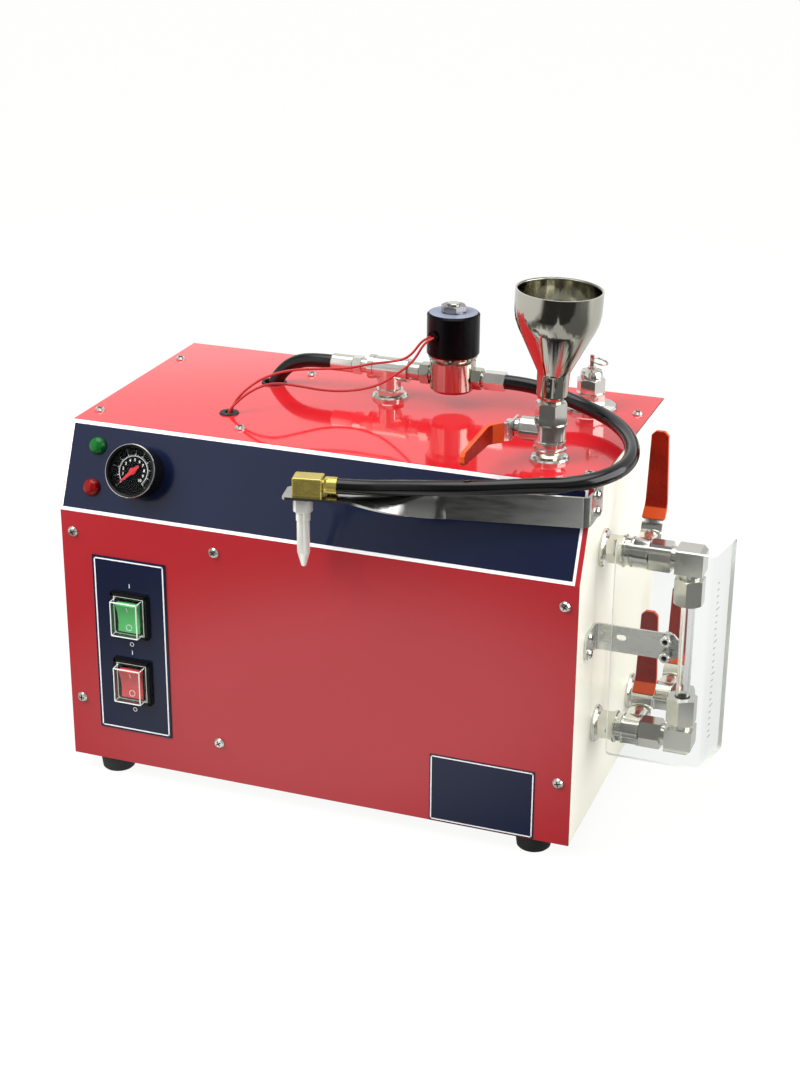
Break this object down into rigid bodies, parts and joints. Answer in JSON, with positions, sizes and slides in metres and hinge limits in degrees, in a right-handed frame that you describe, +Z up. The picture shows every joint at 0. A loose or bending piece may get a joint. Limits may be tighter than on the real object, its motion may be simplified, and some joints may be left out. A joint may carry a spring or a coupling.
{
  "type": "jewellery steam cleaner",
  "caption": "Steam cleaner: boiler cabinet with fill funnel, safety valve, solenoid valve and hose to a fixed nozzle, sight glass with guard and drain valve.",
  "frame": {"origin": "on the floor under the middle of the machine's overall box, hoses and wires left out", "axes": "+X to the right seen from the front (the sight glass side), +Y to the back, +Z up"},
  "size_m": [0.4908, 0.2868, 0.4056],
  "materials": {
    "red_paint": "glossy red stove enamel",
    "ivory_paint": "satin ivory stove enamel",
    "navy_plate": "printed navy sheet, satin",
    "zinc_sheet": "zinc-plated sheet, dull",
    "black_rubber": "matt black rubber",
    "bright_steel": "bright polished plating",
    "stainless": "polished stainless steel",
    "tank_steel": "brushed stainless steel with brown weld tint",
    "brass": "tumbled brass, dull gold",
    "dial_black": "black printed dial",
    "pointer_red": "red lacquer",
    "clear_glass": "clear glass",
    "clear_plastic": "clear moulded plastic",
    "green_plastic": "green translucent plastic",
    "red_plastic": "red translucent plastic",
    "black_plastic": "black moulded plastic",
    "grip_red": "dipped orange-red vinyl",
    "wire_red": "dark red insulation",
    "coil_black": "black potted coil"
  },
  "bodies": {
    "cleaner": {"front_panel": "red_paint", "fascia_panel": "navy_plate", "top_panel": "red_paint", "rear_panel": "ivory_paint", "side_panel_left": "ivory_paint", "side_panel_right": "ivory_paint", "bulkhead": "zinc_sheet", "base_tray": "zinc_sheet", "panel_screws": "bright_steel", "rubber_feet": "black_rubber", "cable_glands": "black_plastic", "switch_plate": "navy_plate", "switch_housings": "black_plastic", "switch_boots": "clear_plastic", "gauge_case": "bright_steel", "gauge_dial": "dial_black", "gauge_lens": "clear_glass", "lamp_green": "green_plastic", "lamp_red": "red_plastic", "boiler_tank": "tank_steel", "tank_nipples": "stainless", "panel_flanges": "bright_steel", "heating_element": "stainless", "valve_bodies": "bright_steel", "funnel": "stainless", "safety_valve": "bright_steel", "steam_tee": "bright_steel", "solenoid_body": "stainless", "solenoid_coil": "coil_black", "coil_nut": "bright_steel", "hose_ferrules": "bright_steel", "top_grommets": "black_rubber", "pressure_hose": "black_rubber", "steam_hose": "black_rubber", "coil_wire_rear": "wire_red", "coil_wire_front": "wire_red", "gauge_elbows": "bright_steel", "hex_nuts": "bright_steel", "gauge_tube": "clear_glass", "guard_bracket": "stainless", "guard_pane": "clear_plastic", "bracket_screws": "bright_steel", "nozzle_arm": "stainless", "nozzle_elbow": "brass", "steam_nozzle": "bright_steel", "pressure_switch": "black_plastic"},
    "fill_valve_lever": {"fill_lever": "bright_steel", "fill_lever_sleeve": "grip_red"},
    "upper_gauge_valve_lever": {"upper_gauge_lever": "bright_steel", "upper_gauge_lever_sleeve": "grip_red"},
    "lower_gauge_valve_lever": {"lower_gauge_lever": "bright_steel", "lower_gauge_lever_sleeve": "grip_red"},
    "drain_valve_lever": {"drain_lever": "bright_steel", "drain_lever_sleeve": "grip_red"},
    "pointer": {"gauge_pointer": "pointer_red"},
    "pedal_switch_rocker": {"pedal_rocker": "green_plastic"},
    "power_switch_rocker": {"power_rocker": "red_plastic"},
    "safety_valve_pull": {"safety_pull": "stainless"},
    "safety_ring": {"pull_ring": "stainless"},
    "plunger": {"solenoid_plunger": "stainless"}
  },
  "joints": [
    {"name": "fill_valve_turn", "type": "hinge", "parent": "cleaner", "child": "fill_valve_lever", "pos_m": [0.11063, -0.0366, 0.301], "axis": [-1, 0, 0], "range_deg": [0, 90]},
    {"name": "upper_gauge_valve_turn", "type": "hinge", "parent": "cleaner", "child": "upper_gauge_valve_lever", "pos_m": [0.18263, -0.0446, 0.2225], "axis": [0, 1, 0], "range_deg": [0, 90]},
    {"name": "lower_gauge_valve_turn", "type": "hinge", "parent": "cleaner", "child": "lower_gauge_valve_lever", "pos_m": [0.18263, -0.0446, 0.083], "axis": [0, 1, 0], "range_deg": [0, 90]},
    {"name": "drain_valve_turn", "type": "hinge", "parent": "cleaner", "child": "drain_valve_lever", "pos_m": [0.18263, 0.0624, 0.059], "axis": [0, 1, 0], "range_deg": [0, 90]},
    {"name": "gauge_pointer_turn", "type": "hinge", "parent": "cleaner", "child": "pointer", "pos_m": [-0.18487, -0.09218, 0.24944], "axis": [0, 0.9138, -0.4061], "range_deg": [0, 270], "stiffness_Nm_per_rad": 0.0002},
    {"name": "pedal_switch_rock", "type": "hinge", "parent": "cleaner", "child": "pedal_switch_rocker", "pos_m": [-0.19037, -0.1036, 0.14], "axis": [-1, 0, 0], "range_deg": [0, 18]},
    {"name": "power_switch_rock", "type": "hinge", "parent": "cleaner", "child": "power_switch_rocker", "pos_m": [-0.19037, -0.1036, 0.085], "axis": [-1, 0, 0], "range_deg": [0, 18]},
    {"name": "safety_valve_lift", "type": "slide", "parent": "cleaner", "child": "safety_valve_pull", "axis": [0, 0, 1], "range_m": [0, 0.003], "stiffness_N_per_m": 8000, "springref_m": -0.0045},
    {"name": "pull_ring_swing", "type": "hinge", "parent": "safety_valve_pull", "child": "safety_ring", "pos_m": [0.10773, 0.084, 0.319], "axis": [0, 1, 0], "range_deg": [-165, 20]},
    {"name": "solenoid_plunger_lift", "type": "slide", "parent": "cleaner", "child": "plunger", "axis": [0, 0, 1], "range_m": [0, 0.003], "stiffness_N_per_m": 800, "springref_m": -0.003}
  ]
}
